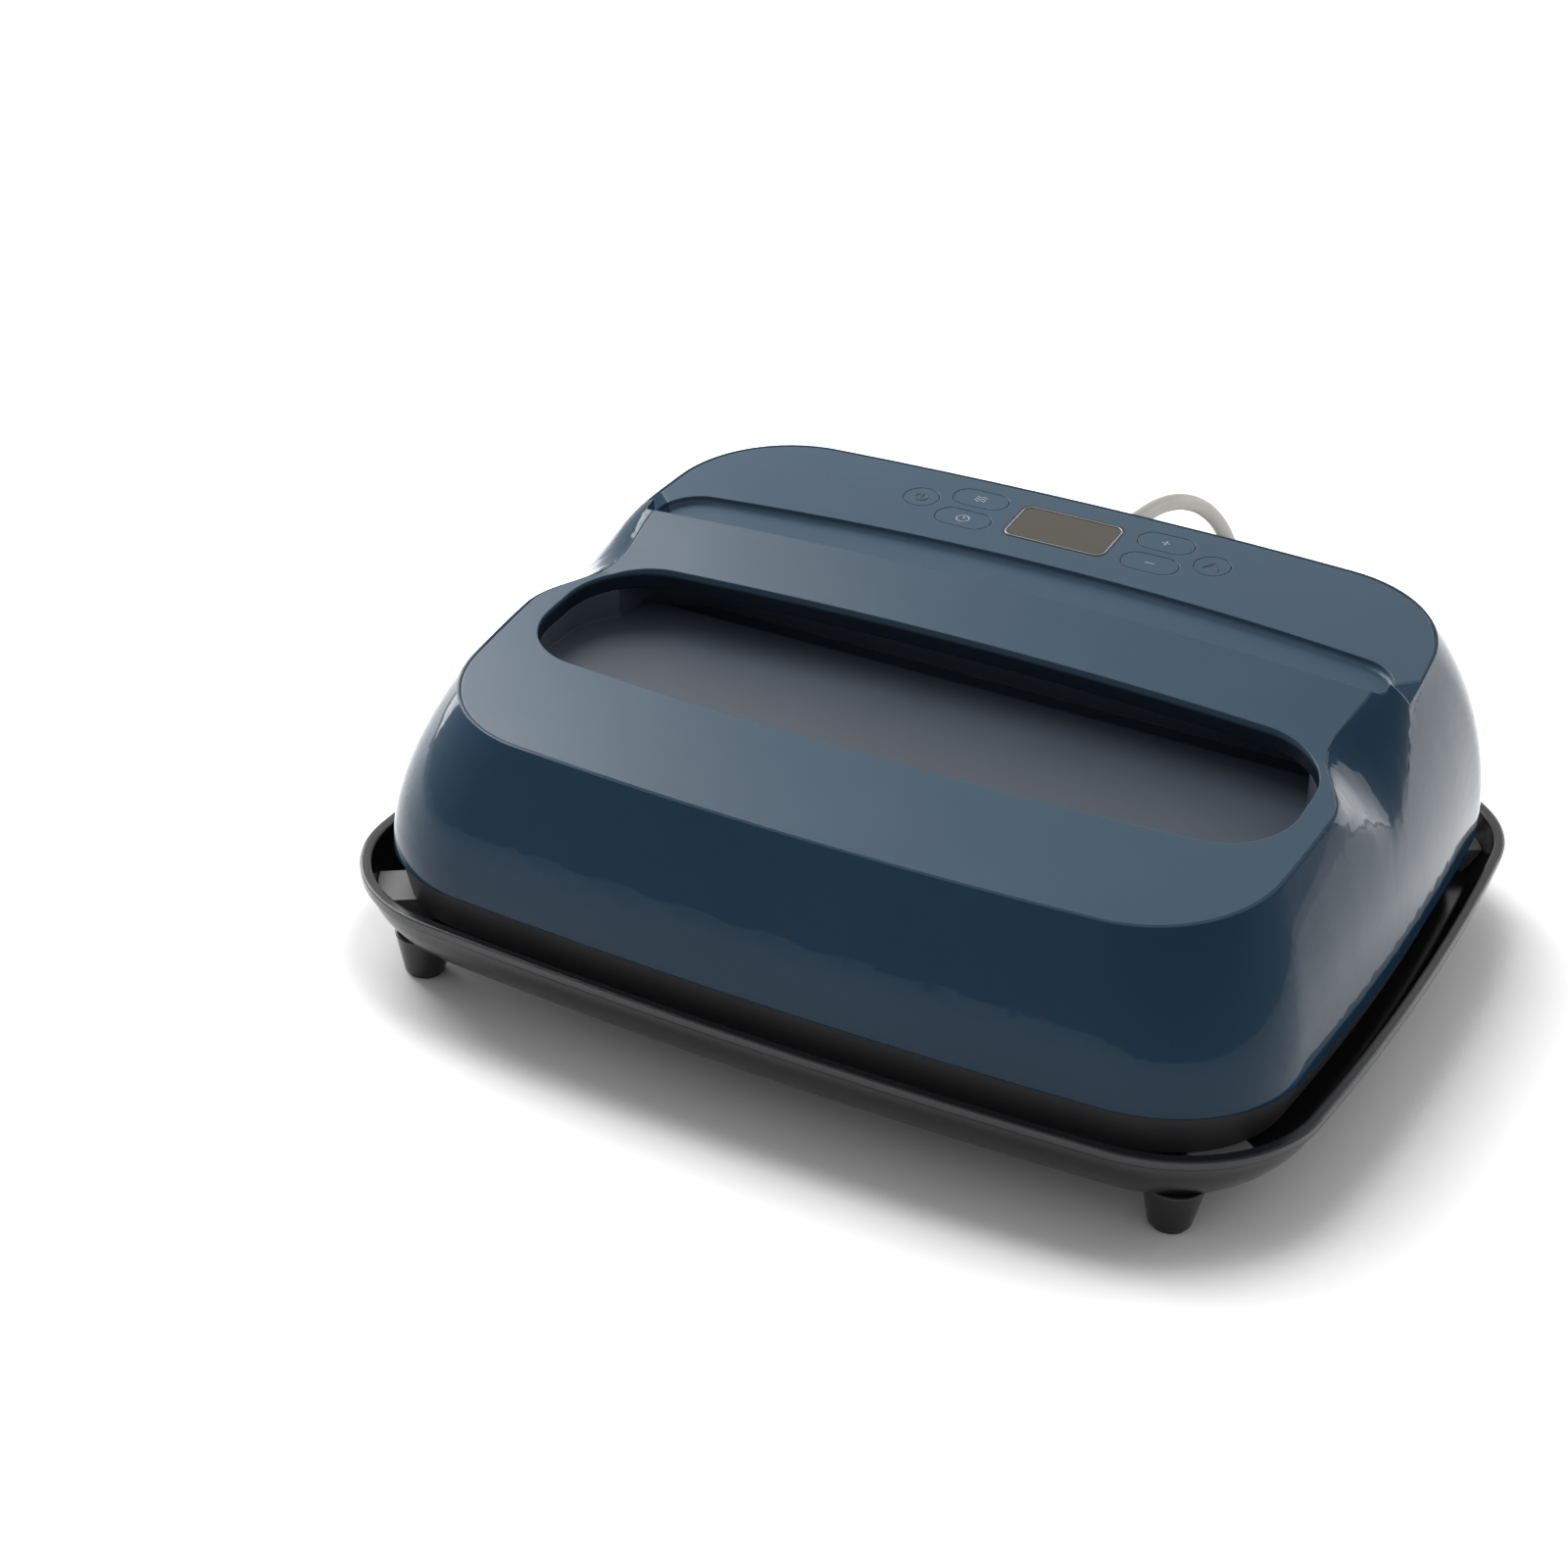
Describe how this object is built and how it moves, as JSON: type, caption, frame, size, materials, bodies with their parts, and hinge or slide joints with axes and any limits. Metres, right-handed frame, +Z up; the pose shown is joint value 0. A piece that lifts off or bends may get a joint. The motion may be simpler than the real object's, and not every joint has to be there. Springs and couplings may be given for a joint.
{
  "type": "handheld heat press",
  "caption": "Handheld heat press with a recessed grip bar, a touch panel with a small display, a heated plate, a mains cord and a safety base that it stands on.",
  "frame": {"origin": "centre of the safety base's footprint, on the surface under its foot pads", "axes": "+X to the right along the long side, +Y to the rear where the cord leaves, +Z up"},
  "size_m": [0.362, 0.5305, 0.13],
  "materials": {
    "shell_gloss": "glossy",
    "cover_satin": "satin",
    "liner_plastic": "satin",
    "skirt_plastic": "matte",
    "tray_plastic": "satin",
    "foot_rubber": "matte",
    "rest_silicone": "matte",
    "button_plastic": "satin",
    "lens_plastic": "glossy",
    "screen": "matte",
    "circuit_board": "satin",
    "component_plastic": "satin",
    "terminal_plastic": "satin",
    "steel": "brushed",
    "plate_coated": "coated",
    "element_steel": "heat tinted",
    "sheet_aluminium": "mill",
    "mat_fibre": "woven",
    "lead_insulation": "satin",
    "cord_rubber": "satin",
    "blade_brass": "plated"
  },
  "bodies": {
    "safety_base": {"base_tray": "tray_plastic", "base_feet": "tray_plastic", "foot_pads": "foot_rubber", "rest_pads": "rest_silicone"},
    "press": {"side_shell": "shell_gloss", "top_cover": "cover_satin", "grip_liner": "liner_plastic", "skirt_frame": "skirt_plastic", "display_lens": "lens_plastic", "display_module": "screen", "control_board": "circuit_board", "button_switches": "component_plastic", "buzzer": "component_plastic", "control_board_screws": "steel", "cover_screws": "steel", "liner_screws": "steel", "case_screws": "steel", "heat_plate": "plate_coated", "heating_element": "element_steel", "plate_spacers": "terminal_plastic", "plate_screws": "steel", "thermal_cutout": "component_plastic", "temperature_sensor": "sheet_aluminium", "insulation_mat": "mat_fibre", "heat_shield": "sheet_aluminium", "power_board": "circuit_board", "board_standoffs": "steel", "power_board_screws": "steel", "power_board_parts": "component_plastic", "heat_sink": "sheet_aluminium", "terminal_block": "terminal_plastic", "mains_lead": "lead_insulation", "element_leads": "lead_insulation", "cord_gland": "cord_rubber", "power_cord": "cord_rubber", "cord_coil": "cord_rubber", "cord_tie": "foot_rubber", "plug_body": "cord_rubber", "plug_blades": "blade_brass"},
    "button_power": {"button_power": "button_plastic"},
    "button_temperature": {"button_temperature": "button_plastic"},
    "button_timer": {"button_timer": "button_plastic"},
    "button_plus": {"button_plus": "button_plastic"},
    "button_minus": {"button_minus": "button_plastic"},
    "button_start": {"button_start": "button_plastic"}
  },
  "joints": [
    {"name": "press_lift", "type": "slide", "parent": "safety_base", "child": "press", "axis": [0, 0, 1], "range_m": [0, 0.15]},
    {"name": "button_power_press", "type": "slide", "parent": "press", "child": "button_power", "axis": [0, 0.134, -0.991], "range_m": [0, 0.0005], "stiffness_N_per_m": 1500},
    {"name": "button_temperature_press", "type": "slide", "parent": "press", "child": "button_temperature", "axis": [0, 0.134, -0.991], "range_m": [0, 0.0005], "stiffness_N_per_m": 1500},
    {"name": "button_timer_press", "type": "slide", "parent": "press", "child": "button_timer", "axis": [0, 0.134, -0.991], "range_m": [0, 0.0005], "stiffness_N_per_m": 1500},
    {"name": "button_plus_press", "type": "slide", "parent": "press", "child": "button_plus", "axis": [0, 0.134, -0.991], "range_m": [0, 0.0005], "stiffness_N_per_m": 1500},
    {"name": "button_minus_press", "type": "slide", "parent": "press", "child": "button_minus", "axis": [0, 0.134, -0.991], "range_m": [0, 0.0005], "stiffness_N_per_m": 1500},
    {"name": "button_start_press", "type": "slide", "parent": "press", "child": "button_start", "axis": [0, 0.134, -0.991], "range_m": [0, 0.0005], "stiffness_N_per_m": 1500}
  ]
}
